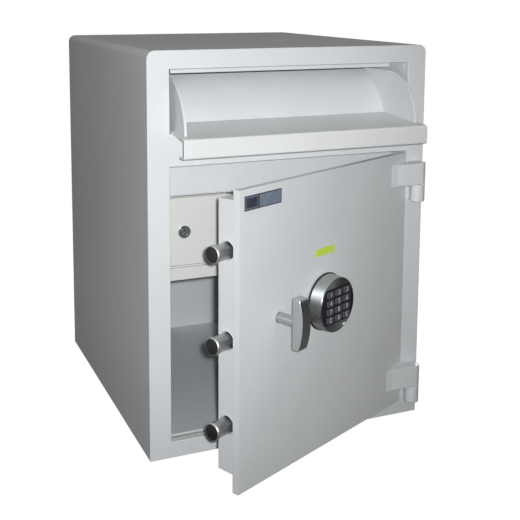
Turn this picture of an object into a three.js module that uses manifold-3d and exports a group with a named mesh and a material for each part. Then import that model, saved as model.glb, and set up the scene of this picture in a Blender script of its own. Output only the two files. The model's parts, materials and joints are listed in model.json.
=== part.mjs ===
// Rotary hopper safe: a steel deposit safe with a tilting hopper above and a bolted door below.
// Millimetres, +Z up. The origin is the middle of the base, and the front faces -Y.
import * as THREE from "three";
import { mergeVertices } from "three/addons/utils/BufferGeometryUtils.js";
import Module from "manifold-3d";

const wasm = await Module();
wasm.setup();

// Driving dimensions
const gap = 0.3; // between two pieces that touch
const over = 1; // how far a cutter or a joined piece runs past a face
const body = { width: 468, depth: 518, height: 619, edgeRadius: 12, skin: 3, frontPlate: 12, backPlate: 6 };
const rail = { latchStile: 34, hingeStile: 32.5, top: 27.5, cross: 49.5, sill: 25.6 };
const hopperOpeningHeight = 93.5;
const liner = { sheet: 3, floorStep: 5.4, backWall: 78 };
const header = { setback: 44, sheet: 3, height: 86, belowOpening: 16 };
const shelf = { sheet: 3, frontHeight: 19.5, depth: 80, drop: 114.5, setback: 45 };
const chute = { sheet: 2.5, flange: 14, length: 80, fall: 15, belowDrum: 4 };
const baffle = { sheet: 2.5, setback: 35, topLeg: 20, inset: 13, aboveDrum: 5.7 };
const hopper = {
  axisSetback: 37, axisAboveOpening: 1, rimRadius: 77.5, sideGap: 8.2, sideSheet: 4,
  trayAboveAxis: 6.3, traySlope: 4.6, traySheet: 3, trayBack: 10,
  lipReach: 60, lipHeight: 29, lipFlange: 19, lipRound: 4, lipSideGap: 1, lipBehindFace: -2,
  wallSheet: 2.5, wallBack: 79.5, wallTop: 74.2, wallBulge: 8.3, wallSteps: 14,
  sideMargin: 4, sideFront: 3, lug: 14, axle: 6, bushRadius: 13, bushWidth: 6.2,
};
const buffer = { radius: 7, setback: 20, inset: 46 };
const locker = {
  inset: 2, width: 136, sheet: 2, depth: 76, setback: 48, doorSheet: 2.5, doorSetback: 45, doorMargin: 1,
  topGap: 1.5, knuckle: 3.2, pin: 1.5, ear: 3, earReach: 4, hingeFromRight: 7,
};
const camLock = {
  fromLeft: 37, head: 9.9, headThick: 2.3, shank: 8.6, plug: 5.9, depth: 13.5, slotWidth: 1.6,
  slotHeight: 6.8, camThick: 2, camWidth: 11, camCorner: 3, camReach: 28,
  keeper: 11, keeperSheet: 2, keeperGap: 1,
};
const door = {
  sideGap: 0.8, topGap: 1.5, bottomGap: 2, plate: 10.3, restAngle: 25.1,
  boxInset: 3.8, boxTop: 15, boxBottom: 23.4, boxDepth: 29.8, boxSheet: 2.5, coverSheet: 2.4,
};
const hinge = {
  radius: 11.7, fromEdge: 16.6, offFace: 0.5, pin: 5, strapHeight: 35, knuckleHeight: 28,
  belowTop: 79.8, belowBottom: 1.6, strapReach: 58.7, strapEnd: 3.3, strapBevel: 12.1, strapInset: 1,
  footWidth: 18, bore: 28, boreFloor: 4, pinShort: 2,
};
const bolt = {
  radius: 12.5, length: 49.7, tipRound: 1.5, head: 5, step: 1, shank: 11.2, tail: 6, tailLength: 9,
  belowTop: 84.8, aboveBottom: 91.0, middleDrop: 2.8, reach: 28.6, setback: 25.3, holeClearance: 0.6,
  keepHole: 2.2,
};
const handle = {
  x: 83.7, aboveMiddle: 18.3, spindle: 7.5, gripBack: 29.5, gripDepth: 18.8, gripBow: 6.3, gripWidth: 17.6,
  gripHeight: 73, gripCorner: 2, spindleInGrip: 9, spindlePastGear: 2, bushRadius: 10.5, bushRecess: 2,
};
const gear = { module: 2.25, teeth: 16, addendum: 0.8, dedendum: 1.1, pressure: 20, backlash: 0.5, width: 8 };
const carriage = {
  sheet: 6, width: 22, overrun: 20, barHeight: 11.1, barLength: 130, rackTeeth: 9, teethPastGear: 3,
};
const guide = { length: 16, wall: 5.4, fromEnd: 4 };
const lockUnit = {
  width: 61, height: 85, thickness: 24, fromSpindle: -6.5, aboveRack: 6,
  boltWidth: 10, boltThick: 11, boltLength: 29, boltOut: 5, boltFromLeft: 38, boltRoom: 2, throw: 8,
  notchPlay: 1,
};
const keypad = {
  x: 187.7, aboveMiddle: 15.5, radius: 41.3, frontRadius: 40.3, depth: 20, rim: 0.8, gasket: 2.6,
  gasketRadius: 42.8, cable: 7, panelRadius: 38, panelTop: 26.4, panelBottom: 25.8,
  panelSheet: 2.2, panelProud: 1, ledX: 15.8, ledDrop: 33, led: 2, ledDepth: 2, ledProud: 0.5,
};
const key = {
  width: 15, height: 9.4, pitchX: 19.4, pitchZ: 12.6, corner: 1.6, proud: 1.8, length: 6, travel: 1.5,
  room: 2.3,
};

// Places that follow from the driving dimensions
const opening = {
  left: rail.latchStile,
  right: body.width - rail.hingeStile,
  doorBottom: rail.sill,
  hopperTop: body.height - rail.top,
};
opening.hopperBottom = opening.hopperTop - hopperOpeningHeight;
opening.doorTop = opening.hopperBottom - rail.cross;
const inside = {
  floor: opening.doorBottom + liner.floorStep,
  back: body.depth - liner.backWall,
  front: body.frontPlate + gap,
};
const axis = { y: hopper.axisSetback, z: opening.hopperBottom + hopper.axisAboveOpening };
const plate = {
  left: opening.left + door.sideGap,
  right: opening.right - door.sideGap,
  bottom: opening.doorBottom + door.bottomGap,
  top: opening.doorTop - door.topGap,
};
const plateMiddle = (plate.bottom + plate.top) / 2;
const pivot = { x: plate.right + hinge.fromEdge, y: -hinge.radius - hinge.offFace };
const hingeBottoms = { upper: plate.top - hinge.belowTop, lower: plate.bottom - hinge.belowBottom };
const boltHeights = { upper: plate.top - bolt.belowTop, lower: plate.bottom + bolt.aboveBottom };
boltHeights.middle = (boltHeights.upper + boltHeights.lower) / 2 - bolt.middleDrop;
const box = {
  left: plate.left + door.boxInset,
  right: plate.right - door.boxInset,
  bottom: plate.bottom + door.boxBottom,
  top: plate.top - door.boxTop,
  front: door.plate + gap,
};
box.back = box.front + door.boxDepth;
const spindle = { x: plate.left + handle.x, z: plateMiddle + handle.aboveMiddle };
const pad = { x: plate.left + keypad.x, z: plateMiddle + keypad.aboveMiddle };
const pitchRadius = (gear.module * gear.teeth) / 2;

// Finishes
const finish = (color, roughness, metalness) =>
  new THREE.MeshStandardMaterial({ color, roughness, metalness });
const paint = finish(0xe2e4e6, 0.45, 0.0);
const innerPaint = finish(0xb9bcba, 0.5, 0.0);
const lockerPaint = finish(0xdedfda, 0.5, 0.0);
const concrete = finish(0x9a978f, 0.95, 0.0);
const chrome = finish(0xc9ccd0, 0.15, 1.0);
const satin = finish(0xb4b6b5, 0.35, 1.0);
const steel = finish(0x8d9094, 0.4, 1.0);
const brass = finish(0xb08d4a, 0.35, 1.0);
const rubber = finish(0x17181b, 0.8, 0.0);
const blackPlastic = finish(0x1d1e24, 0.5, 0.0);
const keyPlastic = finish(0x4a4b55, 0.6, 0.0);
const ledLens = finish(0xd9e2dc, 0.2, 0.0);

// Solids and how they are cut and joined
function solid(geometry) {
  const bare = geometry.index ? geometry.toNonIndexed() : geometry.clone();
  bare.deleteAttribute("normal");
  bare.deleteAttribute("uv");
  const merged = mergeVertices(bare, 1e-4);
  return new wasm.Manifold(
    new wasm.Mesh({
      numProp: 3,
      vertProperties: merged.attributes.position.array,
      triVerts: new Uint32Array(merged.index.array),
    }),
  );
}

function geometryOf(made) {
  const mesh = made.getMesh();
  const indexed = new THREE.BufferGeometry();
  indexed.setAttribute("position", new THREE.BufferAttribute(mesh.vertProperties, 3));
  indexed.setIndex(new THREE.BufferAttribute(mesh.triVerts, 1));
  const faceted = indexed.toNonIndexed();
  faceted.computeVertexNormals();
  return faceted;
}

const join = (...solids) => solids.reduce((sum, next) => sum.add(next));
const cut = (base, ...tools) => tools.reduce((rest, tool) => rest.subtract(tool), base);

function block(x0, x1, y0, y1, z0, z1) {
  const geometry = new THREE.BoxGeometry(x1 - x0, y1 - y0, z1 - z0);
  geometry.translate((x0 + x1) / 2, (y0 + y1) / 2, (z0 + z1) / 2);
  return solid(geometry);
}

function extrude(shape, depth, basis, curveSegments) {
  const geometry = new THREE.ExtrudeGeometry(shape, { depth, bevelEnabled: false, curveSegments });
  geometry.applyMatrix4(basis);
  return solid(geometry);
}

// A (y, z) outline carried along X, an (x, z) outline along Y, and an (x, y) outline along Z
const vector = (x, y, z) => new THREE.Vector3(x, y, z);
const alongX = (shape, x0, x1, curveSegments = 12) =>
  extrude(shape, x1 - x0, new THREE.Matrix4().makeBasis(vector(0, 1, 0), vector(0, 0, 1), vector(1, 0, 0))
    .setPosition(x0, 0, 0), curveSegments);
const alongY = (shape, y0, y1, curveSegments = 12) =>
  extrude(shape, y1 - y0, new THREE.Matrix4().makeBasis(vector(1, 0, 0), vector(0, 0, 1), vector(0, -1, 0))
    .setPosition(0, y1, 0), curveSegments);
const alongZ = (shape, z0, z1, curveSegments = 12) =>
  extrude(shape, z1 - z0, new THREE.Matrix4().setPosition(0, 0, z0), curveSegments);

function circle(u, v, radius) {
  return new THREE.Shape().absarc(u, v, radius, 0, 2 * Math.PI, false);
}

// Round bars, with more sides the thicker they are
const fineness = (radius) => Math.round(3 * (1 + Math.sqrt(radius)));
const rodX = (y, z, radius, x0, x1) => alongX(circle(y, z, radius), x0, x1, fineness(radius));
const rodY = (x, z, radius, y0, y1) => alongY(circle(x, z, radius), y0, y1, fineness(radius));
const rodZ = (x, y, radius, z0, z1) => alongZ(circle(x, y, radius), z0, z1, fineness(radius));

// A quarter circle as points, anticlockwise from an angle in degrees
function quarterArc(u, v, radius, from) {
  return [0, 0.25, 0.5, 0.75, 1].map((part) => {
    const angle = THREE.MathUtils.degToRad(from + 90 * part);
    return [u + radius * Math.cos(angle), v + radius * Math.sin(angle)];
  });
}

function polygon(points) {
  return new THREE.Shape(points.map(([u, v]) => new THREE.Vector2(u, v)));
}

function roundedRectangle(u0, u1, v0, v1, radius) {
  const shape = new THREE.Shape();
  shape.absarc(u1 - radius, v0 + radius, radius, -Math.PI / 2, 0, false);
  shape.absarc(u1 - radius, v1 - radius, radius, 0, Math.PI / 2, false);
  shape.absarc(u0 + radius, v1 - radius, radius, Math.PI / 2, Math.PI, false);
  shape.absarc(u0 + radius, v0 + radius, radius, Math.PI, 1.5 * Math.PI, false);
  shape.closePath();
  return shape;
}

// The outline of a folded sheet: the path is one face, and the other lies to its left
function sheet(path, thickness) {
  const points = path.map(([u, v]) => new THREE.Vector2(u, v));
  const normals = points.slice(1).map((p, i) => {
    const along = p.clone().sub(points[i]).normalize();
    return new THREE.Vector2(-along.y, along.x);
  });
  const offset = points.map((p, i) => {
    const before = normals[Math.max(i - 1, 0)];
    const after = normals[Math.min(i, normals.length - 1)];
    const mitre = before.clone().add(after).normalize();
    return p.clone().addScaledVector(mitre, thickness / mitre.dot(after));
  });
  return new THREE.Shape([...points, ...offset.reverse()]);
}

// An outline turned about the Y axis through (x, z), from [radius, y] points that start and end on the axis
function latheY(outline, x, z, segments = 48) {
  const points = outline.map(([radius, y]) => new THREE.Vector2(radius, -y)).reverse();
  const geometry = new THREE.LatheGeometry(points, segments);
  geometry.applyMatrix4(
    new THREE.Matrix4().makeBasis(vector(1, 0, 0), vector(0, -1, 0), vector(0, 0, -1)).setPosition(x, 0, z),
  );
  return solid(geometry);
}

function add(group, name, made, material) {
  const mesh = new THREE.Mesh(geometryOf(made), material);
  mesh.name = name;
  group.add(mesh);
}

// Body shell, filling and liner
function casingOutline(inset) {
  const radius = body.edgeRadius - inset;
  const left = inset;
  const right = body.width - inset;
  const top = body.height - inset;
  const shape = new THREE.Shape();
  shape.moveTo(left, inset);
  shape.lineTo(right, inset);
  shape.absarc(right - radius, top - radius, radius, 0, Math.PI / 2, false);
  shape.absarc(left + radius, top - radius, radius, Math.PI / 2, Math.PI, false);
  shape.closePath();
  return shape;
}

function addShell(group) {
  const through = [-over, body.frontPlate + over];
  const casing = cut(
    alongY(casingOutline(0), 0, body.depth, 6),
    alongY(casingOutline(body.skin), body.frontPlate, body.depth + over, 6),
    block(opening.left, opening.right, ...through, opening.hopperBottom, opening.hopperTop),
    block(opening.left, opening.right, ...through, opening.doorBottom, opening.doorTop),
  );
  add(group, "outer_casing", casing, paint);

  const backPlate = alongY(casingOutline(body.skin + gap), body.depth - body.backPlate, body.depth, 6);
  add(group, "back_plate", backPlate, paint);

  const outside = {
    left: opening.left - liner.sheet,
    right: opening.right + liner.sheet,
    bottom: inside.floor - liner.sheet,
    top: opening.hopperTop + liner.sheet,
    back: inside.back + liner.sheet,
  };
  const tub = cut(
    block(outside.left, outside.right, inside.front, outside.back, outside.bottom, outside.top),
    block(opening.left, opening.right, 0, inside.back, inside.floor, opening.hopperTop),
    ...Object.values(boltHeights).map((z) =>
      rodX(bolt.setback, z, bolt.radius + bolt.keepHole, outside.left - over, opening.left + over)),
  );
  add(group, "inner_liner", tub, innerPaint);

  const keepTop = boltHeights.upper + bolt.radius + carriage.overrun;
  const keepBottom = boltHeights.lower - bolt.radius - carriage.overrun;
  const keepBack = bolt.setback + bolt.radius + 2 * liner.sheet;
  const filling = cut(
    alongY(casingOutline(body.skin + gap), inside.front, body.depth - body.backPlate - gap, 6),
    block(outside.left - gap, outside.right + gap, 0, outside.back + gap,
      outside.bottom - gap, outside.top + gap),
    block(0, opening.left, 0, keepBack + gap, keepBottom - gap, keepTop + gap),
  );
  add(group, "concrete_filling", filling, concrete);

  const keepLeft = body.skin + gap;
  const keepOutline = sheet(
    [[keepLeft, inside.front], [keepLeft, keepBack], [outside.left - gap, keepBack]].reverse(), liner.sheet);
  add(group, "bolt_keep", alongZ(keepOutline, keepBottom, keepTop), steel);
}

// Header behind the door's top edge, with the shelf, chute and baffle inside
function addInnerPanels(group) {
  const left = opening.left + gap;
  const right = opening.right - gap;
  const headerTop = opening.hopperBottom - header.belowOpening;
  const headerBottom = headerTop - header.height;
  const headerPath = [[inside.front, headerTop], [header.setback + header.sheet, headerTop],
    [header.setback + header.sheet, headerBottom]];
  add(group, "header_panel", alongX(sheet([...headerPath].reverse(), header.sheet), left, right), innerPaint);

  const chuteFront = header.setback + header.sheet + gap;
  const chuteTop = axis.z - hopper.rimRadius - chute.belowDrum;
  const chutePath = [[chuteFront, chuteTop - chute.flange], [chuteFront, chuteTop],
    [chuteFront + chute.length, chuteTop - chute.fall]];
  add(group, "chute_plate", alongX(sheet([...chutePath].reverse(), chute.sheet), left, right), innerPaint);

  const shelfTop = headerBottom - shelf.drop;
  const shelfPath = [[shelf.setback, shelfTop - shelf.frontHeight], [shelf.setback, shelfTop],
    [shelf.setback + shelf.depth, shelfTop]];
  const shelfSheet = alongX(sheet([...shelfPath].reverse(), shelf.sheet), left, right);
  add(group, "inner_shelf", shelfSheet, lockerPaint);

  const baffleTop = opening.hopperTop - gap;
  const baffleBottom = axis.z + hopper.rimRadius + baffle.aboveDrum;
  const bafflePath = [[baffle.setback, baffleBottom], [baffle.setback, baffleTop],
    [baffle.setback + baffle.topLeg, baffleTop]];
  const baffleOutline = sheet([...bafflePath].reverse(), baffle.sheet);
  const baffleStrip = alongX(baffleOutline, opening.left + baffle.inset, opening.right - baffle.inset);
  add(group, "hopper_baffle", baffleStrip, innerPaint);
  return { shelfTop, headerBottom, headerTop };
}

// Small lockable box that stands on the shelf
function addLocker(group, shelfTop, headerBottom) {
  const left = opening.left + locker.inset;
  const right = left + locker.width;
  const bottom = shelfTop + gap;
  const top = headerBottom - gap;
  const back = locker.setback + locker.depth;
  const wall = locker.sheet;
  const pin = { x: right - locker.hingeFromRight, y: locker.doorSetback };
  const lock = { x: opening.left + camLock.fromLeft, z: (bottom + headerBottom - locker.topGap) / 2 };
  const doorBottom = bottom + locker.ear + 2 * gap;
  const doorTop = headerBottom - locker.topGap - locker.ear - 2 * gap;
  const keeperFront = locker.doorSetback + camLock.depth - camLock.keeperSheet - camLock.keeperGap;

  const ear = (z0, z1) => cut(
    block(pin.x - locker.earReach, right, pin.y - locker.earReach, locker.setback + over, z0, z1),
    rodZ(pin.x, pin.y, locker.pin + gap, z0 - over, z1 + over),
  );
  const boxShell = join(
    cut(
      block(left, right, locker.setback, back, bottom, top),
      block(left + wall, right - wall, locker.setback - over, back - wall, bottom + wall, top - wall),
    ),
    block(left, left + wall + camLock.keeper, keeperFront, keeperFront + camLock.keeperSheet, bottom, top),
    ear(bottom, bottom + locker.ear),
    ear(headerBottom - locker.topGap - locker.ear, headerBottom - locker.topGap),
  );
  add(group, "locker_box", boxShell, lockerPaint);
  const hingePin = rodZ(pin.x, pin.y, locker.pin, bottom + gap, headerBottom - locker.topGap - gap);
  add(group, "locker_hinge_pin", hingePin, steel);

  // Its door hangs on the pin, and is built about the pin's axis
  const leaf = new THREE.Group();
  leaf.position.set(pin.x, pin.y, 0);
  const at = { x: lock.x - pin.x, z: lock.z };
  const leafLeft = left + locker.doorMargin - pin.x;
  const panel = cut(
    join(
      block(leafLeft, -locker.knuckle / 2, 0, locker.doorSheet, doorBottom, doorTop),
      rodZ(0, 0, locker.knuckle, doorBottom, doorTop),
    ),
    rodZ(0, 0, locker.pin + gap, doorBottom - over, doorTop + over),
    rodY(at.x, at.z, camLock.shank + gap, -over, locker.doorSheet + over),
  );
  add(leaf, "locker_door", panel, lockerPaint);
  const barrel = latheY(
    [[camLock.plug + gap, -gap - camLock.headThick], [camLock.head, -gap - camLock.headThick],
      [camLock.head, -gap], [camLock.shank, -gap], [camLock.shank, camLock.depth - gap],
      [camLock.plug + gap, camLock.depth - gap], [camLock.plug + gap, -gap - camLock.headThick]],
    at.x, at.z, 32);
  add(leaf, "locker_lock_barrel", barrel, satin);
  const camEnd = camLock.depth + camLock.camThick;
  const halfCam = camLock.camWidth / 2;
  const camArm = roundedRectangle(
    at.x - halfCam, at.x + halfCam, at.z - halfCam, at.z + camLock.camReach, camLock.camCorner);
  const plug = cut(
    join(
      rodY(at.x, at.z, camLock.plug, -camLock.headThick, camEnd),
      alongY(camArm, camLock.depth, camEnd, 4),
    ),
    block(at.x - camLock.slotWidth / 2, at.x + camLock.slotWidth / 2,
      -camLock.headThick - over, camLock.headThick,
      at.z - camLock.slotHeight / 2, at.z + camLock.slotHeight / 2),
  );
  add(leaf, "locker_cam", plug, satin);
  group.add(leaf);
}

// Tilting hopper: tray with its folded lip, curved back wall and two side plates, all turning on axle stubs
function addHopper(group, headerTop) {
  const drum = new THREE.Group();
  drum.position.set(0, axis.y, axis.z);
  const slope = Math.tan(THREE.MathUtils.degToRad(hopper.traySlope));
  const trayTop = (y) => hopper.trayAboveAxis + slope * y;
  const sideLeft = opening.left + hopper.sideGap;
  const sideRight = opening.right - hopper.sideGap;
  const trayLeft = sideLeft + hopper.sideSheet + gap;
  const trayRight = sideRight - hopper.sideSheet - gap;
  const lipLeft = opening.left + hopper.lipSideGap;
  const lipRight = opening.right - hopper.lipSideGap;
  const lipFront = -axis.y - hopper.lipReach;
  const lipBack = -axis.y + hopper.lipBehindFace;
  const lipTop = trayTop(lipFront + hopper.lipRound);
  const lipFloor = trayTop(lipFront) - hopper.lipHeight;
  const round = hopper.lipRound;
  const lipPath = [
    [lipBack, trayTop(lipBack)],
    ...quarterArc(lipFront + round, lipTop - round, round, 90),
    ...quarterArc(lipFront + round, lipFloor + round, round, 180),
    [lipFront + hopper.lipFlange, lipFloor],
  ];
  const tray = join(
    alongX(sheet(lipPath, hopper.traySheet), lipLeft, lipRight),
    alongX(sheet([[hopper.trayBack, trayTop(hopper.trayBack)], [lipBack - over, trayTop(lipBack - over)]],
      hopper.traySheet), trayLeft, trayRight),
  );
  add(drum, "hopper_tray", tray, paint);

  // The wall is an arc that bulges towards the user, from the tray's back edge to its top edge
  const foot = vector(hopper.trayBack + gap, trayTop(hopper.trayBack) + gap, 0);
  const head = vector(hopper.wallBack, hopper.wallTop, 0);
  const chord = head.clone().sub(foot);
  const outward = vector(-chord.y, chord.x, 0).normalize();
  const wallPath = Array.from({ length: hopper.wallSteps + 1 }, (unused, i) => {
    const t = i / hopper.wallSteps;
    const bulge = 4 * hopper.wallBulge * t * (1 - t);
    const p = foot.clone().addScaledVector(chord, t).addScaledVector(outward, bulge);
    return [p.x, p.y];
  });
  const wallOutline = sheet(wallPath.reverse(), hopper.wallSheet);
  add(drum, "hopper_wall", alongX(wallOutline, trayLeft, trayRight), paint);

  const side = new THREE.Shape();
  const margin = hopper.sideMargin;
  const rimAngle = Math.asin((trayTop(-hopper.rimRadius) + gap) / hopper.rimRadius);
  const heel = vector(foot.x + margin, foot.y - margin, 0);
  const sideFront = lipBack + hopper.sideFront;
  side.absarc(0, 0, hopper.rimRadius, Math.PI - rimAngle, Math.PI / 2, true);
  side.lineTo(head.x + margin / 2, head.y + margin / 2);
  side.lineTo(head.x + margin, head.y - margin / 2);
  side.lineTo(heel.x, heel.y);
  side.absarc(0, 0, hopper.lug, Math.atan2(heel.y, heel.x), -Math.PI, true);
  side.lineTo(sideFront, trayTop(lipBack) - hopper.traySheet);
  side.lineTo(sideFront, trayTop(sideFront) + gap);
  side.closePath();
  const bushLeft = opening.left + gap;
  const bushRight = opening.right - gap;
  const axleLeft = rodX(0, 0, hopper.axle, bushLeft + gap, sideLeft + over);
  const axleRight = rodX(0, 0, hopper.axle, sideRight - over, bushRight - gap);
  const plateLeft = alongX(side, sideLeft, sideLeft + hopper.sideSheet, 24);
  const plateRight = alongX(side, sideRight - hopper.sideSheet, sideRight, 24);
  add(drum, "hopper_side_left", join(plateLeft, axleLeft), paint);
  add(drum, "hopper_side_right", join(plateRight, axleRight), paint);
  group.add(drum);

  const bush = (x0, x1) => cut(
    rodX(axis.y, axis.z, hopper.bushRadius, x0, x1),
    rodX(axis.y, axis.z, hopper.axle + gap, x0 - over, x1 + over));
  add(group, "hopper_bush_left", bush(bushLeft, bushLeft + hopper.bushWidth), brass);
  add(group, "hopper_bush_right", bush(bushRight - hopper.bushWidth, bushRight), brass);

  const trayUnder = axis.z + trayTop(buffer.setback - buffer.radius - axis.y) - hopper.traySheet - 2 * gap;
  const rubberFoot = (x) => rodZ(x, buffer.setback + gap, buffer.radius, headerTop + gap, trayUnder);
  add(group, "hopper_buffer_left", rubberFoot(opening.left + buffer.inset), rubber);
  add(group, "hopper_buffer_right", rubberFoot(opening.right - buffer.inset), rubber);
}

// Fixed halves of the hinges, on the hinge stile
function addKnuckles(group) {
  for (const [name, z] of Object.entries(hingeBottoms)) {
    const top = z + hinge.knuckleHeight;
    const half = hinge.footWidth / 2;
    const knuckle = cut(
      join(
        rodZ(pivot.x, pivot.y, hinge.radius, z, top),
        block(pivot.x - half, pivot.x + half, pivot.y, -gap, z, top),
      ),
      rodZ(pivot.x, pivot.y, hinge.pin + gap, z + hinge.boreFloor, top + over),
    );
    add(group, `hinge_knuckle_${name}`, knuckle, paint);
    const pinTop = top + hinge.bore - hinge.pinShort;
    const pin = rodZ(pivot.x, pivot.y, hinge.pin, z + hinge.boreFloor + gap, pinTop);
    add(group, `hinge_pin_${name}`, pin, steel);
  }
}

// Moving halves: tapered straps on the door's face that run out to the barrel
function addStraps(group) {
  const end = [pivot.x - hinge.strapReach, -gap];
  const shoulder = [end[0] + hinge.strapBevel, -gap - hinge.strapEnd];
  const away = new THREE.Vector2(pivot.x - shoulder[0], pivot.y - shoulder[1]);
  const tangent = away.angle() - Math.asin(hinge.radius / away.length());
  const outline = new THREE.Shape();
  outline.moveTo(...end);
  outline.lineTo(...shoulder);
  outline.absarc(pivot.x, pivot.y, hinge.radius, tangent - Math.PI / 2, Math.PI / 2, false);
  outline.lineTo(plate.right - hinge.strapInset, -gap);
  outline.closePath();
  for (const [name, z] of Object.entries(hingeBottoms)) {
    const bottom = z + hinge.knuckleHeight + 2 * gap;
    const strap = cut(
      alongZ(outline, bottom, bottom + hinge.strapHeight, 14),
      rodZ(pivot.x, pivot.y, hinge.pin + gap, bottom - over, bottom + hinge.bore),
    );
    add(group, `hinge_strap_${name}`, strap, paint);
  }
}

// Door leaf: front plate, welded box behind it and the cover that closes the box
function addDoorLeaf(group) {
  const front = cut(
    block(plate.left, plate.right, 0, door.plate, plate.bottom, plate.top),
    rodY(spindle.x, spindle.z, handle.spindle + 2 * gap, -over, door.plate + over),
    rodY(spindle.x, spindle.z, handle.bushRadius + gap, handle.bushRecess, door.plate + over),
    rodY(pad.x, pad.z, keypad.cable, -over, door.plate + over),
  );
  add(group, "door_plate", front, paint);
  const bush = cut(
    rodY(spindle.x, spindle.z, handle.bushRadius, handle.bushRecess + gap, door.plate),
    rodY(spindle.x, spindle.z, handle.spindle + gap, 0, door.plate + over),
  );
  add(group, "spindle_bush", bush, brass);

  const wall = door.boxSheet;
  const frame = cut(
    block(box.left, box.right, box.front, box.back, box.bottom, box.top),
    block(box.left + wall, box.right - wall, box.front - over, box.back + over,
      box.bottom + wall, box.top - wall),
    ...Object.values(boltHeights).map((z) =>
      rodX(bolt.setback, z, bolt.radius + bolt.holeClearance, box.left - over, box.left + wall + over)),
  );
  add(group, "door_box", frame, paint);
  const cover = block(
    box.left + wall + gap, box.right - wall - gap, box.back - door.coverSheet, box.back,
    box.bottom + wall + gap, box.top - wall - gap);
  add(group, "door_rear_cover", cover, paint);
}

// Involute of a circle, as the half angle that a tooth fills at each radius
function pinionOutline() {
  const pressure = THREE.MathUtils.degToRad(gear.pressure);
  const base = pitchRadius * Math.cos(pressure);
  const involute = (angle) => Math.tan(angle) - angle;
  const halfAtPitch = (Math.PI * gear.module / 2 - gear.backlash / 2) / 2 / pitchRadius;
  const halfAngle = (radius) => {
    const angle = radius > base ? Math.acos(base / radius) : 0;
    return halfAtPitch + involute(pressure) - involute(angle);
  };
  const tip = pitchRadius + gear.addendum * gear.module;
  const root = pitchRadius - gear.dedendum * gear.module;
  const flank = [root, base, (base + pitchRadius) / 2, pitchRadius, (pitchRadius + tip) / 2, tip];
  const points = [];
  for (let tooth = 0; tooth < gear.teeth; tooth += 1) {
    const centre = (2 * Math.PI * tooth) / gear.teeth + Math.PI / 2;
    for (const radius of flank) {
      const angle = centre - halfAngle(radius);
      points.push([radius * Math.cos(angle), radius * Math.sin(angle)]);
    }
    for (const radius of [...flank].reverse()) {
      const angle = centre + halfAngle(radius);
      points.push([radius * Math.cos(angle), radius * Math.sin(angle)]);
    }
  }
  return points;
}

// Toothed bar above the pinion: straight flanks at the pressure angle, a gap over the pinion's top tooth
function rackOutline(left, right, top) {
  const pitch = Math.PI * gear.module;
  const lean = Math.tan(THREE.MathUtils.degToRad(gear.pressure));
  const pitchLine = spindle.z + pitchRadius;
  const tip = pitchLine - gear.addendum * gear.module;
  const root = pitchLine + gear.dedendum * gear.module;
  const halfTooth = (pitch / 2 - gear.backlash / 2) / 2;
  const atTip = halfTooth - lean * gear.addendum * gear.module;
  const atRoot = halfTooth + lean * gear.dedendum * gear.module;
  const points = [[left, root]];
  const first = spindle.x + pitch * (0.5 + carriage.teethPastGear - carriage.rackTeeth);
  for (let tooth = 0; tooth < carriage.rackTeeth; tooth += 1) {
    const x = first + tooth * pitch;
    points.push([x - atRoot, root], [x - atTip, tip], [x + atTip, tip], [x + atRoot, root]);
  }
  points.push([right, root], [right, top], [left, top]);
  return polygon(points);
}

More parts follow.
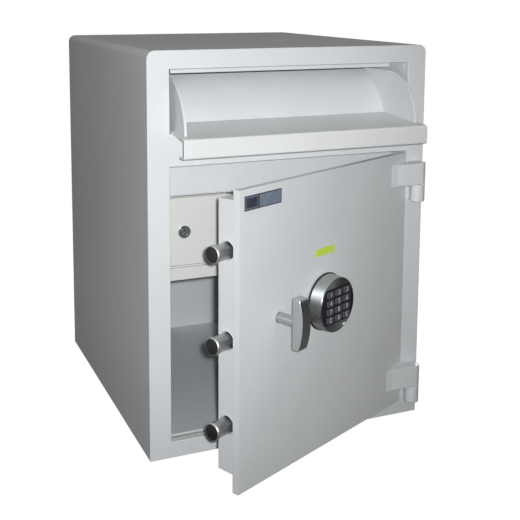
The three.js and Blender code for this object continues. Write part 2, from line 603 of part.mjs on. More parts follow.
// Boltwork inside the door: bolts on a sliding carriage, its rack, the guide and the lock above it
function addBoltwork(group) {
  const boltTip = box.left - bolt.reach;
  const carriageLeft = boltTip + bolt.length + gap;
  const carriageRight = carriageLeft + carriage.sheet;
  const round = bolt.tipRound;
  const end = bolt.length + bolt.tailLength;
  const profile = [[0, 0], [bolt.radius - round, 0], [bolt.radius - round / 3, round / 3],
    [bolt.radius, round], [bolt.radius, bolt.head], [bolt.shank, bolt.head + bolt.step],
    [bolt.shank, bolt.length], [bolt.tail, bolt.length], [bolt.tail, end], [0, end]];
  for (const [name, z] of Object.entries(boltHeights)) {
    const shank = new THREE.LatheGeometry(profile.map(([r, y]) => new THREE.Vector2(r, y)), 32);
    shank.applyMatrix4(
      new THREE.Matrix4().makeBasis(vector(0, 1, 0), vector(1, 0, 0), vector(0, 0, -1))
        .setPosition(boltTip, bolt.setback, z));
    add(group, `bolt_${name}`, solid(shank), chrome);
  }

  const barFront = bolt.setback - gear.width / 2;
  const barBack = bolt.setback + gear.width / 2;
  const pitchLine = spindle.z + pitchRadius;
  const barBottom = pitchLine + gear.dedendum * gear.module;
  const barTop = barBottom + carriage.barHeight;
  const barRight = carriageRight + carriage.barLength;
  const lockLeft = spindle.x + lockUnit.fromSpindle;
  const lockBottom = barTop + lockUnit.aboveRack;
  const boltX = lockLeft + lockUnit.boltFromLeft;
  const boltBottom = lockBottom - lockUnit.boltOut;
  const boltTop = boltBottom + lockUnit.boltLength;
  const halfWide = lockUnit.boltWidth / 2;
  const halfThick = lockUnit.boltThick / 2;
  const notchDepth = lockUnit.throw + lockUnit.boltOut - lockUnit.aboveRack + lockUnit.notchPlay;
  const slide = cut(
    join(
      block(carriageLeft, carriageRight, bolt.setback - carriage.width / 2, bolt.setback + carriage.width / 2,
        boltHeights.lower - carriage.overrun, boltHeights.upper + carriage.overrun),
      alongY(rackOutline(carriageRight - over, barRight, barTop), barFront, barBack),
    ),
    ...Object.values(boltHeights).map((z) =>
      rodX(bolt.setback, z, bolt.tail + gap, carriageLeft - over, carriageRight + over)),
    block(boltX - halfWide - lockUnit.notchPlay, boltX + halfWide + lockUnit.notchPlay,
      barFront - over, barBack + over, barTop - notchDepth, barTop + over),
  );
  add(group, "bolt_carriage", slide, steel);

  const guideLeft = barRight - guide.fromEnd - guide.length;
  const guideBlock = cut(
    block(guideLeft, guideLeft + guide.length, box.front, barBack + over,
      barBottom - guide.wall, barTop + guide.wall - gap),
    block(guideLeft - over, guideLeft + guide.length + over, barFront - gap, barBack + 2 * over,
      barBottom - gap, barTop + gap),
  );
  add(group, "rack_guide", guideBlock, steel);

  const lockCase = cut(
    block(lockLeft, lockLeft + lockUnit.width, box.front, box.front + lockUnit.thickness,
      lockBottom, lockBottom + lockUnit.height),
    block(boltX - halfWide - gap, boltX + halfWide + gap,
      bolt.setback - halfThick - gap, bolt.setback + halfThick + gap,
      lockBottom - over, boltTop + lockUnit.boltRoom),
  );
  add(group, "lock_case", lockCase, steel);
  const lockBolt = block(boltX - halfWide, boltX + halfWide,
    bolt.setback - halfThick, bolt.setback + halfThick, boltBottom, boltTop);
  add(group, "lock_bolt", lockBolt, brass);
}

// T handle: spindle through the door, grip outside and pinion inside
function addHandle(group) {
  const gripFront = -handle.gripBack - handle.gripDepth;
  const pinionFront = bolt.setback - gear.width / 2;
  const pinionBack = bolt.setback + gear.width / 2;
  const shaftFront = -handle.gripBack - handle.spindleInGrip;
  const shaft = rodY(spindle.x, spindle.z, handle.spindle, shaftFront, pinionBack + handle.spindlePastGear);
  add(group, "handle_spindle", shaft, satin);

  const half = handle.gripHeight / 2;
  const round = handle.gripCorner;
  const sideView = new THREE.Shape();
  sideView.moveTo(-handle.gripBack, spindle.z - half);
  sideView.lineTo(-handle.gripBack, spindle.z + half);
  sideView.lineTo(gripFront + handle.gripBow + round, spindle.z + half);
  sideView.lineTo(gripFront + handle.gripBow, spindle.z + half - round);
  sideView.quadraticCurveTo(
    gripFront - handle.gripBow, spindle.z, gripFront + handle.gripBow, spindle.z - half + round);
  sideView.lineTo(gripFront + handle.gripBow + round, spindle.z - half);
  sideView.closePath();
  const grip = cut(
    alongX(sideView, spindle.x - handle.gripWidth / 2, spindle.x + handle.gripWidth / 2, 24),
    rodY(spindle.x, spindle.z, handle.spindle + gap, shaftFront - gap, -handle.gripBack + over),
  );
  add(group, "handle_grip", grip, satin);

  const teeth = polygon(pinionOutline().map(([x, z]) => [x + spindle.x, z + spindle.z]));
  const pinion = cut(
    alongY(teeth, pinionFront, pinionBack),
    rodY(spindle.x, spindle.z, handle.spindle + gap, pinionFront - over, pinionBack + over),
  );
  add(group, "drive_pinion", pinion, steel);
}

// Round keypad: gasket, metal housing, black panel and twelve keys that travel inwards
function addKeypad(group) {
  const gasket = cut(
    rodY(pad.x, pad.z, keypad.gasketRadius, -gap - keypad.gasket, -gap),
    rodY(pad.x, pad.z, keypad.cable, -gap - keypad.gasket - over, 0),
  );
  add(group, "keypad_gasket", gasket, rubber);

  const back = -keypad.gasket - 2 * gap;
  const front = back - keypad.depth;
  const face = front - keypad.panelProud;
  const keyFront = face - key.proud;
  const keyBack = keyFront + key.length;
  const rim = keypad.rim;
  const panelOutline = (grow) => {
    const radius = keypad.panelRadius + grow;
    const top = Math.asin((keypad.panelTop + grow) / radius);
    const bottom = Math.asin((keypad.panelBottom + grow) / radius);
    const shape = new THREE.Shape();
    shape.absarc(pad.x, pad.z, radius, -bottom, top, false);
    shape.absarc(pad.x, pad.z, radius, Math.PI - top, Math.PI + bottom, false);
    shape.closePath();
    return shape;
  };
  const led = { x: pad.x + keypad.ledX, z: pad.z - keypad.ledDrop };
  const shell = cut(
    latheY([[0, front], [keypad.frontRadius - rim, front], [keypad.frontRadius - rim / 3, front + rim / 3],
      [keypad.frontRadius, front + rim], [keypad.radius, back], [0, back]], pad.x, pad.z, 56),
    alongY(panelOutline(gap), front - over, keyBack + key.travel + key.room),
    rodY(led.x, led.z, keypad.led + gap, front - over, front + keypad.ledDepth),
    rodY(pad.x, pad.z, keypad.cable, front, back + over),
  );
  add(group, "keypad_housing", shell, satin);
  const lens = rodY(led.x, led.z, keypad.led, front - keypad.ledProud, front + keypad.ledDepth - gap);
  add(group, "keypad_led", lens, ledLens);

  const keysMiddle = pad.z + (keypad.panelTop - keypad.panelBottom) / 2;
  const places = [];
  for (let row = 0; row < 4; row += 1) {
    for (let column = 0; column < 3; column += 1) {
      places.push([pad.x + (column - 1) * key.pitchX, keysMiddle + (1.5 - row) * key.pitchZ]);
    }
  }
  const keyOutline = ([x, z], grow) => roundedRectangle(
    x - key.width / 2 - grow, x + key.width / 2 + grow,
    z - key.height / 2 - grow, z + key.height / 2 + grow, key.corner + grow);
  const panel = cut(
    alongY(panelOutline(0), face, face + keypad.panelSheet),
    ...places.map((place) => alongY(keyOutline(place, gap), face - over, face + keypad.panelSheet + over, 2)),
  );
  add(group, "keypad_panel", panel, blackPlastic);
  const names = ["1", "2", "3", "4", "5", "6", "7", "8", "9", "clear", "0", "enter"];
  places.forEach((place, i) => {
    add(group, `key_${names[i]}`, alongY(keyOutline(place, 0), keyFront, keyBack, 2), keyPlastic);
  });
}

// Assembly: pieces are laid out from the front left bottom corner, which is then moved off the base's middle
const safe = new THREE.Group();
safe.position.set(-body.width / 2, -body.depth / 2, 0);
addShell(safe);
const levels = addInnerPanels(safe);
addLocker(safe, levels.shelfTop, levels.headerBottom);
addHopper(safe, levels.headerTop);
addKnuckles(safe);

// The door is laid out shut, then swung about its hinge pins to the angle at which it stands open
const leaf = new THREE.Group();
leaf.position.set(-pivot.x, -pivot.y, 0);
addDoorLeaf(leaf);
addStraps(leaf);
addBoltwork(leaf);
addHandle(leaf);
addKeypad(leaf);
const swing = new THREE.Group();
swing.position.set(pivot.x, pivot.y, 0);
swing.rotation.z = THREE.MathUtils.degToRad(door.restAngle);
swing.add(leaf);
safe.add(swing);

const root = new THREE.Group();
root.add(safe);

export default root;
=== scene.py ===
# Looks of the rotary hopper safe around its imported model: finishes, edges, labels, legends and studio.
# Metres, +Z up, in the model's own frame. The front faces -Y and the origin is the middle of the base.
import json
import math

import bmesh
import bpy
from mathutils import Matrix, Vector


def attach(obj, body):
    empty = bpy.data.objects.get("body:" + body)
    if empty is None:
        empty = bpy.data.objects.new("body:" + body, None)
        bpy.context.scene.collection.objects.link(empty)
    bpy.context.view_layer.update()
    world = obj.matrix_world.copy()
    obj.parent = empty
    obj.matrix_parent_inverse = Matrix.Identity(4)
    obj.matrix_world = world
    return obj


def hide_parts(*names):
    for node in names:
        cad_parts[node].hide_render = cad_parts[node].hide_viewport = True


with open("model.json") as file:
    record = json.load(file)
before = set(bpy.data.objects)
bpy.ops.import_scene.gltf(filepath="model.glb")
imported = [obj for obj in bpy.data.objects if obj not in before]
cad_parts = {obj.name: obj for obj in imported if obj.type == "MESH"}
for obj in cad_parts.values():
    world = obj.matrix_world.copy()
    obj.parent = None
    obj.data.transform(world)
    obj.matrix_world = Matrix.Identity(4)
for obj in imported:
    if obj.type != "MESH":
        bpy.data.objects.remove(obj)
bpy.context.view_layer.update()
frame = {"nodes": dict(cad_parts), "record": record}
nodes = frame["nodes"]
slot_of = {part["node"]: part["material_slot"] for part in frame["record"]["subparts"]}
bodies = frame["record"]["behaviour"]["bodies"]
body_of = {node: body for body, members in bodies.items() for node in members}

# Sizes that repeat the model's
HALF_WIDTH = 0.234
DOOR_PIVOT = Vector((0.2173, -0.2712, 0.0))
DOOR_TURN = Matrix.Rotation(math.radians(25.1), 4, "Z")
DOOR_LEFT = 0.0348 - HALF_WIDTH
DOOR_FRONT = -0.259
KEYS_X = 0.2225 - HALF_WIDTH
KEYS_Z = 0.2531
KEY_PITCH_X = 0.0194
KEY_PITCH_Z = 0.0126
KEY_FRONT = DOOR_FRONT - 0.0260

# The photograph's camera
CAMERA_PLACE = (-0.60824, -1.49633, 0.69826)
CAMERA_YAW = math.radians(22.10)
CAMERA_PITCH = math.radians(-7.52)
CAMERA_ROLL = math.radians(0.15)
CAMERA_LENS = 62.92
CAMERA_SENSOR = 36
CAMERA_SHIFT = (0.0575, -0.2800)

# Lamps: one close to the lens, and one behind that only the back and the right side face
KEY_LIGHT = {"place": (-0.585, -1.505, 0.716), "target": (-0.19, -0.26, 0.44), "radius": 0.014,
             "power": 74, "cone": 66, "colour": (0.97, 0.985, 1.0)}
BACK_LIGHT = {"place": (1.9, 1.9, 0.45), "target": (0.1, 0.1, 0.31), "radius": 0.15,
              "power": 130, "cone": 50, "colour": (1, 1, 1)}

# Surroundings: each span is the place where a level starts to change, and where it ends
FLOOR_REACH = 6.0
FLOOR_DROP = 0.0002
FLOOR_GREY = (0.12, 0.12, 0.12, 1)
FLOOR_SEEN = 0.985
FLOOR_LEFT = {"span": (-0.3, -0.8), "levels": (0.06, 0.6)}
FLOOR_FAR_LEFT = {"span": (-1.2, -2.2), "levels": (0.0, 1.6)}
FLOOR_BEHIND = {"span": (0.4, 1.0), "levels": (1.0, 0.06)}
WORLD_SEEN = (1, 1, 1, 1)
WORLD_FILL = (1.0, 0.99, 0.90, 1)
WORLD_FILL_STRENGTH = 0.15
WORLD_MIRRORED = (0.97, 0.99, 0.96, 1)
WORLD_OVERHEAD = {"span": (0.12, 0.7), "levels": (0.05, 0.8)}
WORLD_LEFT = {"span": (-0.65, -0.95), "levels": (0.0, 0.8)}
WORLD_FAR_LEFT = {"span": (-0.85, -0.95), "levels": (0.0, 1.0)}
WORLD_BAND_HEIGHTS = ((0.14, 0.0), (0.20, 1.0), (0.33, 1.0), (0.41, 0.0))

# Finishes' common values
DRIFT_DETAIL = 4.0
DRIFT_ROUGHNESS = 0.6
GRAIN_DETAIL = 2.0
GRAIN_ROUGHNESS = 0.5
NOISE_LOW = 0.3
NOISE_HIGH = 0.7
RELIEF_DEPTH = 0.001
ACROSS_THE_TURNING = 0.25

# Eased edges
MERGE_DISTANCE = 0.00002
FLAT_ANGLE = math.radians(1.0)
SMOOTH_DEGREES = 35
CRISP_DEGREES = 15
EDGE_SEGMENTS = 2
FACING_LEAST = 0.95


def make_camera():
    data = bpy.data.cameras.new("camera")
    data.lens = CAMERA_LENS
    data.sensor_width = CAMERA_SENSOR
    data.shift_x, data.shift_y = CAMERA_SHIFT
    camera = bpy.data.objects.new("camera", data)
    forward = Vector((math.sin(CAMERA_YAW) * math.cos(CAMERA_PITCH),
                      math.cos(CAMERA_YAW) * math.cos(CAMERA_PITCH),
                      math.sin(CAMERA_PITCH)))
    level = Vector((math.cos(CAMERA_YAW), -math.sin(CAMERA_YAW), 0))
    upright = level.cross(forward)
    right = math.cos(CAMERA_ROLL) * level + math.sin(CAMERA_ROLL) * upright
    up = right.cross(forward)
    turn = Matrix((right, up, -forward)).transposed().to_4x4()
    camera.matrix_world = Matrix.Translation(CAMERA_PLACE) @ turn
    bpy.context.scene.collection.objects.link(camera)
    bpy.context.scene.camera = camera


# Node trees
class Graph:
    """A node tree with short calls."""

    def __init__(self, tree):
        self.tree = tree
        tree.nodes.clear()

    def node(self, kind, **values):
        """A new node. Each value is one of its properties, or an input with _ for a space."""
        made = self.tree.nodes.new(kind)
        for key, value in values.items():
            if hasattr(made, key):
                setattr(made, key, value)
            else:
                made.inputs[key.replace("_", " ")].default_value = value
        return made

    def link(self, source, target):
        self.tree.links.new(source, target)

    def noise(self, scale, detail, roughness):
        place = self.node("ShaderNodeTexCoord")
        made = self.node("ShaderNodeTexNoise", Scale=scale, Detail=detail, Roughness=roughness)
        self.link(place.outputs["Object"], made.inputs["Vector"])
        return made.outputs["Fac"]

    def ramp(self, source, stops):
        made = self.node("ShaderNodeValToRGB")
        elements = made.color_ramp.elements
        while len(elements) < len(stops):
            elements.new(0.5)
        for element, (position, colour) in zip(elements, stops):
            element.position = position
            element.color = (*colour, 1)
        self.link(source, made.inputs["Fac"])
        return made.outputs["Color"]

    def span(self, source, span, levels):
        """Goes from one level to the other while the source crosses the span."""
        made = self.node("ShaderNodeMapRange", From_Min=span[0], From_Max=span[1],
                         To_Min=levels[0], To_Max=levels[1])
        self.link(source, made.inputs["Value"])
        return made.outputs["Result"]

    def combine(self, operation, *sources):
        made = self.node("ShaderNodeMath", operation=operation)
        for socket, source in zip(made.inputs, sources):
            self.link(source, socket)
        return made.outputs["Value"]


def grey(value):
    return (value, value, value)


def scaled(colour, factor):
    return tuple(min(1.0, channel * factor) for channel in colour)


# Finishes
def surface(name, colour, roughness, metallic=0.0, mottle=0.04, mottle_scale=9.0, rough_spread=0.06,
            bump=0.02, bump_scale=900.0, specular=0.5, turned=0.0):
    """A finish with slow colour drift, uneven roughness and a fine surface grain."""
    material = bpy.data.materials.new(name)
    material.use_nodes = True
    graph = Graph(material.node_tree)
    out = graph.node("ShaderNodeOutputMaterial")
    shader = graph.node("ShaderNodeBsdfPrincipled")
    shader.inputs["Metallic"].default_value = metallic
    shader.inputs["Specular IOR Level"].default_value = specular
    graph.link(shader.outputs["BSDF"], out.inputs["Surface"])
    if turned:
        shader.inputs["Anisotropic"].default_value = turned
        shader.inputs["Anisotropic Rotation"].default_value = ACROSS_THE_TURNING
        around = graph.node("ShaderNodeTangent", direction_type="RADIAL", axis="Y")
        graph.link(around.outputs["Tangent"], shader.inputs["Tangent"])
    drift = graph.noise(mottle_scale, DRIFT_DETAIL, DRIFT_ROUGHNESS)
    shade = graph.ramp(drift, [(NOISE_LOW, scaled(colour, 1 - mottle)),
                               (NOISE_HIGH, scaled(colour, 1 + mottle))])
    graph.link(shade, shader.inputs["Base Color"])
    grain = graph.noise(bump_scale, GRAIN_DETAIL, GRAIN_ROUGHNESS)
    wear = graph.ramp(grain, [(NOISE_LOW, grey(roughness - rough_spread)),
                              (NOISE_HIGH, grey(roughness + rough_spread))])
    graph.link(wear, shader.inputs["Roughness"])
    relief = graph.node("ShaderNodeBump", Strength=bump, Distance=RELIEF_DEPTH)
    graph.link(grain, relief.inputs["Height"])
    graph.link(relief.outputs["Normal"], shader.inputs["Normal"])
    return material


def polished(name, colour, roughness, **values):
    """A smooth bare metal."""
    return surface(name, colour, roughness, metallic=1.0, rough_spread=0.03, **values)


def powder_coat(name, colour, roughness, **values):
    """A painted sheet with the fine grain of a powder coat."""
    return surface(name, colour, roughness, bump_scale=700, **values)


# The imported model's material slots
finish = {
    "paint": powder_coat("white_paint", (0.72, 0.735, 0.75), 0.45, mottle=0.025, bump=0.25, specular=0.4),
    "inner_paint": powder_coat("inner_paint", (0.68, 0.70, 0.72), 0.42, mottle=0.03, bump=0.25),
    "locker_paint": powder_coat("locker_paint", (0.68, 0.68, 0.655), 0.45, mottle=0.025, bump=0.25),
    "concrete": surface("concrete", (0.34, 0.33, 0.30), 0.9, mottle=0.2, mottle_scale=60,
                        bump=0.8, bump_scale=300),
    "chrome": polished("bolt_chrome", (0.54, 0.545, 0.55), 0.43, mottle_scale=40, bump_scale=500),
    "satin_metal": polished("satin_metal", (0.49, 0.515, 0.52), 0.28, mottle_scale=40),
    "steel": surface("machined_steel", (0.42, 0.43, 0.44), 0.38, metallic=1.0, mottle=0.1,
                     mottle_scale=30, bump=0.2),
    "brass": surface("brass", (0.55, 0.42, 0.18), 0.35, metallic=1.0, mottle=0.1, mottle_scale=50,
                     bump=0.1),
    "rubber": surface("black_rubber", (0.012, 0.012, 0.013), 0.7, mottle=0.2, mottle_scale=80, bump=0.3),
    "black_plastic": surface("black_plastic", (0.012, 0.012, 0.018), 0.5, mottle=0.1, mottle_scale=80,
                             bump=0.3),
    "key_plastic": surface("key_plastic", (0.075, 0.072, 0.095), 0.55, mottle=0.12, mottle_scale=120,
                           bump=0.3),
    "led_lens": surface("led_lens", (0.80, 0.84, 0.80), 0.15, mottle=0.05, bump=0.05),
}

# Finishes of single pieces; the tray's and the bolt ends' colours hold painted light and painted shade
# The tray's paint is the white paint made paler: painted light on the tray's flat top, which the lamps
# light only at a grazing angle
tray_paint_painted_light = powder_coat("tray_paint_painted_light", (0.77, 0.775, 0.77), 0.2, mottle=0.025, bump=0.15, specular=0.9)
grip_metal = polished("grip_metal", (0.60, 0.61, 0.61), 0.24, mottle=0.05, mottle_scale=60)
turned_metal = polished("turned_metal", (0.455, 0.48, 0.485), 0.45, mottle_scale=40, turned=0.9)
# Near black on the end faces of the chrome bolts: painted shade, for the dark these faces show under the
# lamps
bolt_end_painted_shade = surface("bolt_end_painted_shade", (0.032, 0.032, 0.032), 0.45, metallic=0.8, mottle=0.2, mottle_scale=200,
                   bump=0.1)
legend = surface("key_legend", (0.55, 0.55, 0.57), 0.5, mottle=0.1, mottle_scale=300, bump=0.1)
plate_dark = surface("plate_dark", (0.045, 0.05, 0.075), 0.35, mottle=0.25, mottle_scale=150, bump=0.1)
plate_line = surface("plate_line", (0.22, 0.24, 0.28), 0.35, mottle=0.2, mottle_scale=150, bump=0.1)
plate_blue = surface("plate_blue", (0.22, 0.27, 0.34), 0.3, metallic=0.2, mottle=0.15, mottle_scale=120,
                     bump=0.1)
sticker_green = surface("sticker_green", (0.62, 0.86, 0.10), 0.45, mottle=0.06, mottle_scale=120, bump=0.05)

for name, item in nodes.items():
    item.data.materials.clear()
    item.data.materials.append(finish[slot_of[name]])


# Pieces
def link_mesh(name, mesh, material, body):
    item = bpy.data.objects.new(name, mesh)
    mesh.materials.clear()
    mesh.materials.append(material)
    bpy.context.scene.collection.objects.link(item)
    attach(item, body)
    return item


def soften(name, width, smooth_degrees=SMOOTH_DEGREES):
    """The node's own shape with its edges broken, in the node's place."""
    mesh = nodes[name].data.copy()
    mesh.name = f"{name}_eased"
    work = bmesh.new()
    work.from_mesh(mesh)
    bmesh.ops.remove_doubles(work, verts=work.verts, dist=MERGE_DISTANCE)
    bmesh.ops.dissolve_limit(work, angle_limit=FLAT_ANGLE, verts=work.verts, edges=work.edges)
    work.to_mesh(mesh)
    work.free()
    for polygon in mesh.polygons:
        polygon.use_smooth = True
    mesh.set_sharp_from_angle(angle=math.radians(smooth_degrees))
    item = link_mesh(f"{name}_eased", mesh, finish[slot_of[name]], body_of[name])
    if width:
        bevel = item.modifiers.new("eased_edges", "BEVEL")
        bevel.width = width
        bevel.segments = EDGE_SEGMENTS
        bevel.limit_method = "ANGLE"
        bevel.angle_limit = math.radians(smooth_degrees)
        bevel.use_clamp_overlap = True
        bevel.loop_slide = False
        even = item.modifiers.new("even_normals", "WEIGHTED_NORMAL")
        even.keep_sharp = True
    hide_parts(name)


# Width of each node's eased edges, 0 where the solid's own curves are enough
EASED = {
    "outer_casing": 0.0012, "back_plate": 0.001, "inner_liner": 0.001, "header_panel": 0.0008,
    "chute_plate": 0.0005, "inner_shelf": 0.0008, "hopper_baffle": 0.0008, "locker_box": 0.0004,
    "locker_door": 0.0004, "hopper_tray": 0.0006, "hopper_wall": 0.0005, "hopper_side_left": 0.0008,
    "hopper_side_right": 0.0008, "door_plate": 0.0012, "door_box": 0.0006, "door_rear_cover": 0.0006,
    "hinge_strap_upper": 0.0012, "hinge_strap_lower": 0.0012, "hinge_knuckle_upper": 0.0010,
    "hinge_knuckle_lower": 0.0010, "handle_grip": 0.0009, "handle_spindle": 0.0005, "keypad_gasket": 0.0006,
    "keypad_housing": 0.0, "keypad_panel": 0.0003, "keypad_led": 0.0003, "bolt_upper": 0.0,
    "bolt_middle": 0.0, "bolt_lower": 0.0, "locker_lock_barrel": 0.0003, "locker_cam": 0.0002,
    "lock_case": 0.0006, "lock_bolt": 0.0004, "bolt_carriage": 0.0002, "rack_guide": 0.0004,
    "drive_pinion": 0.0,
}
CRISP = ("hinge_strap_upper", "hinge_strap_lower")
for name, width in EASED.items():
    soften(name, width, CRISP_DEGREES if name in CRISP else SMOOTH_DEGREES)

# The tray gets the paler paint with painted light; the grip and the keypad housing get metals of their own
for name, material in {"hopper_tray": tray_paint_painted_light, "handle_grip": grip_metal,
                       "keypad_housing": turned_metal}.items():
    bpy.data.objects[f"{name}_eased"].data.materials[0] = material


def face_material(name, material, towards):
    """Gives the faces of an eased node that look one way a material of their own, such as painted shade."""
    mesh = bpy.data.objects[f"{name}_eased"].data
    mesh.materials.append(material)
    for polygon in mesh.polygons:
        if polygon.normal.dot(towards) > FACING_LEAST:
            polygon.material_index = len(mesh.materials) - 1


# The bolts' end faces, which look towards the door's left, get the near-black painted shade
for name in ("bolt_upper", "bolt_middle", "bolt_lower"):
    face_material(name, bolt_end_painted_shade, DOOR_TURN.to_3x3() @ Vector((-1, 0, 0)))


def door_place(x, y, z):
    """A point given on the shut door, turned to where the door stands."""
    return DOOR_TURN @ (Vector((x, y, z)) - DOOR_PIVOT) + DOOR_PIVOT


def door_block(name, corner, far_corner, material, edge):
    """A thin plate on the door's face, between two corners given on the shut door, with broken edges."""
    work = bmesh.new()
    bmesh.ops.create_cube(work, size=1.0)
    for vertex in work.verts:
        ends = zip(vertex.co, corner, far_corner)
        vertex.co = door_place(*(far if side > 0 else near for side, near, far in ends))
    bmesh.ops.bevel(work, geom=work.edges[:], offset=edge, segments=EDGE_SEGMENTS, profile=0.5,
                    affect="EDGES")
    mesh = bpy.data.meshes.new(name)
    work.to_mesh(mesh)
    work.free()
    link_mesh(name, mesh, material, "door")


# Bare plate and bare sticker
BEHIND_LABEL = DOOR_FRONT - 0.00005
PLATE_LEFT = DOOR_LEFT + 0.0100
PLATE_RIGHT = DOOR_LEFT + 0.0852
PLATE_BOTTOM = 0.418
PLATE_TOP = 0.438
PLATE_FRONT = DOOR_FRONT - 0.0008
PLATE_EDGE = 0.0003
PLATE_SPLIT = PLATE_LEFT + (PLATE_RIGHT - PLATE_LEFT) * 0.38
FIELD_OVERLAP = 0.0005
FIELD_SINK = 0.0002
FIELD_EDGE = 0.00005
STICKER_LEFT = DOOR_LEFT + 0.1632
STICKER_RIGHT = DOOR_LEFT + 0.2089
STICKER_BOTTOM = 0.3235
STICKER_TOP = 0.3343
STICKER_FRONT = DOOR_FRONT - 0.00025
STICKER_EDGE = 0.0001


def plate_field(name, left, right, inset, proud, material):
    """One raised field of the name plate, inset from its bounds."""
    door_block(name, (left + inset, PLATE_FRONT - proud, PLATE_BOTTOM + inset),
               (right - inset, PLATE_FRONT + FIELD_SINK, PLATE_TOP - inset), material, FIELD_EDGE)


door_block("name_plate", (PLATE_LEFT, PLATE_FRONT, PLATE_BOTTOM), (PLATE_RIGHT, BEHIND_LABEL, PLATE_TOP),
           plate_dark, PLATE_EDGE)
plate_field("name_plate_line", PLATE_LEFT, PLATE_SPLIT, inset=0.0018, proud=0.0001,
            material=plate_line)
plate_field("name_plate_dark", PLATE_LEFT, PLATE_SPLIT, inset=0.0029, proud=0.0002,
            material=plate_dark)
plate_field("name_plate_blue", PLATE_SPLIT - FIELD_OVERLAP, PLATE_RIGHT, inset=0.0015, proud=0.0001,
            material=plate_blue)
door_block("door_sticker", (STICKER_LEFT, STICKER_FRONT, STICKER_BOTTOM),
           (STICKER_RIGHT, BEHIND_LABEL, STICKER_TOP), sticker_green, STICKER_EDGE)

# Keys with raised legends, by rows from the top
KEYS = [
    [("1", "1"), ("2", "2"), ("3", "3")],
    [("4", "4"), ("5", "5"), ("6", "6")],
    [("7", "7"), ("8", "8"), ("9", "9")],
    [("clear", "C"), ("0", "0"), ("enter", "E")],
]
KEY_EDGE = 0.0004
LEGEND_SIZE = 0.0096
LEGEND_RELIEF = 0.00012
LEGEND_STEPS = 3
MIDDLE_ROW = (len(KEYS) - 1) / 2
MIDDLE_COLUMN = 1


def key_legend(key, text, x, z):
    curve = bpy.data.curves.new(f"legend_{key}", "FONT")
    curve.body = text
    curve.size = LEGEND_SIZE
    curve.align_x = "CENTER"
    curve.align_y = "CENTER"
    curve.extrude = LEGEND_RELIEF
    curve.offset = LEGEND_RELIEF
    curve.resolution_u = LEGEND_STEPS
    drawn = bpy.data.objects.new("drawn", curve)
    bpy.context.scene.collection.objects.link(drawn)
    bpy.context.view_layer.update()
    mesh = bpy.data.meshes.new_from_object(drawn.evaluated_get(bpy.context.evaluated_depsgraph_get()))
    bpy.data.objects.remove(drawn)
    upright = Matrix.Rotation(math.radians(90), 4, "X")
    mesh.transform(Matrix.Translation(door_place(x, KEY_FRONT, z)) @ DOOR_TURN @ upright)
    link_mesh(f"legend_{key}", mesh, legend, f"key_{key}")


for row, keys in enumerate(KEYS):
    for column, (key, text) in enumerate(keys):
        soften(f"key_{key}", KEY_EDGE)
        key_legend(key, text, KEYS_X + (column - MIDDLE_COLUMN) * KEY_PITCH_X,
                   KEYS_Z + (MIDDLE_ROW - row) * KEY_PITCH_Z)


# Studio
def make_floor():
    """White to the camera; in reflections pale on the left, and dim on the right and behind."""
    mesh = bpy.data.meshes.new("floor")
    corners = [(-1, -1), (1, -1), (1, 1), (-1, 1)]
    mesh.from_pydata([(x * FLOOR_REACH, y * FLOOR_REACH, 0) for x, y in corners], [], [(0, 1, 2, 3)])
    floor = bpy.data.objects.new("floor", mesh)
    bpy.context.scene.collection.objects.link(floor)
    material = bpy.data.materials.new("floor")
    material.use_nodes = True
    graph = Graph(material.node_tree)
    out = graph.node("ShaderNodeOutputMaterial")
    diffuse = graph.node("ShaderNodeBsdfDiffuse", Color=FLOOR_GREY)
    place = graph.node("ShaderNodeTexCoord")
    axes = graph.node("ShaderNodeSeparateXYZ")
    graph.link(place.outputs["Object"], axes.inputs["Vector"])
    paler = graph.combine("ADD", graph.span(axes.outputs["X"], **FLOOR_LEFT),
                       graph.span(axes.outputs["X"], **FLOOR_FAR_LEFT))
    glossy = graph.combine("MULTIPLY", paler, graph.span(axes.outputs["Y"], **FLOOR_BEHIND))
    path = graph.node("ShaderNodeLightPath")
    seen = graph.span(path.outputs["Is Camera Ray"], (0, 1), (0, FLOOR_SEEN))
    glow = graph.node("ShaderNodeEmission")
    strength = graph.combine("MULTIPLY_ADD", path.outputs["Is Glossy Ray"], glossy, seen)
    graph.link(strength, glow.inputs["Strength"])
    both = graph.node("ShaderNodeAddShader")
    graph.link(diffuse.outputs["BSDF"], both.inputs[0])
    graph.link(glow.outputs["Emission"], both.inputs[1])
    graph.link(both.outputs["Shader"], out.inputs["Surface"])
    mesh.materials.append(material)
    floor.location.z = -FLOOR_DROP


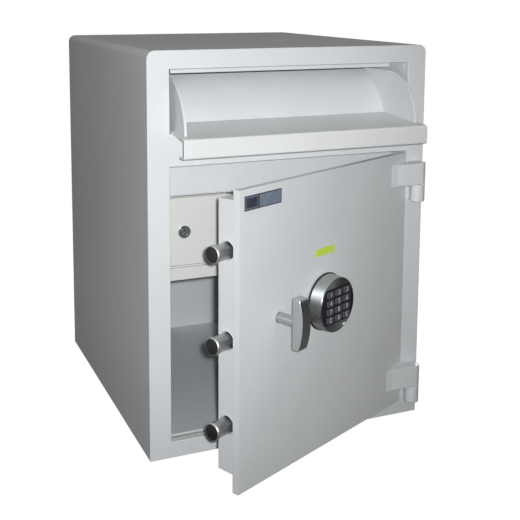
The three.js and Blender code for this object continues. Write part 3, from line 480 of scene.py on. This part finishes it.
def make_world():
    """White to the camera; in reflections pale overhead and on the left, dim elsewhere; a weak fill."""
    world = bpy.data.worlds.new("studio")
    bpy.context.scene.world = world
    world.use_nodes = True
    graph = Graph(world.node_tree)
    out = graph.node("ShaderNodeOutputWorld")
    seen = graph.node("ShaderNodeBackground", Strength=1.0, Color=WORLD_SEEN)
    fill = graph.node("ShaderNodeBackground", Strength=WORLD_FILL_STRENGTH, Color=WORLD_FILL)
    place = graph.node("ShaderNodeTexCoord")
    axes = graph.node("ShaderNodeSeparateXYZ")
    graph.link(place.outputs["Generated"], axes.inputs["Vector"])
    paler = graph.combine("MAXIMUM", graph.span(axes.outputs["Z"], **WORLD_OVERHEAD),
                       graph.span(axes.outputs["X"], **WORLD_LEFT))
    low = graph.ramp(axes.outputs["Z"], [(height, grey(level)) for height, level in WORLD_BAND_HEIGHTS])
    band = graph.combine("MULTIPLY_ADD", graph.span(axes.outputs["X"], **WORLD_FAR_LEFT), low, paler)
    mirrored = graph.node("ShaderNodeBackground", Color=WORLD_MIRRORED)
    graph.link(band, mirrored.inputs["Strength"])
    path = graph.node("ShaderNodeLightPath")
    shiny = graph.combine("MAXIMUM", path.outputs["Is Glossy Ray"], path.outputs["Is Transmission Ray"])
    unseen = graph.node("ShaderNodeMixShader")
    graph.link(shiny, unseen.inputs["Fac"])
    graph.link(fill.outputs["Background"], unseen.inputs[1])
    graph.link(mirrored.outputs["Background"], unseen.inputs[2])
    mix = graph.node("ShaderNodeMixShader")
    graph.link(path.outputs["Is Camera Ray"], mix.inputs["Fac"])
    graph.link(unseen.outputs["Shader"], mix.inputs[1])
    graph.link(seen.outputs["Background"], mix.inputs[2])
    graph.link(mix.outputs["Shader"], out.inputs["Surface"])


def make_light(name, place, target, radius, power, cone, colour):
    data = bpy.data.lights.new(name, "SPOT")
    data.shadow_soft_size = radius
    data.energy = power
    data.color = colour
    data.spot_size = math.radians(cone)
    data.spot_blend = 1.0
    lamp = bpy.data.objects.new(name, data)
    lamp.location = place
    lamp.rotation_euler = (Vector(target) - Vector(place)).to_track_quat("-Z", "Y").to_euler()
    bpy.context.scene.collection.objects.link(lamp)


make_camera()
make_floor()
make_world()
make_light("key_light", **KEY_LIGHT)
make_light("back_light", **BACK_LIGHT)
bpy.context.scene.view_settings.view_transform = "Standard"
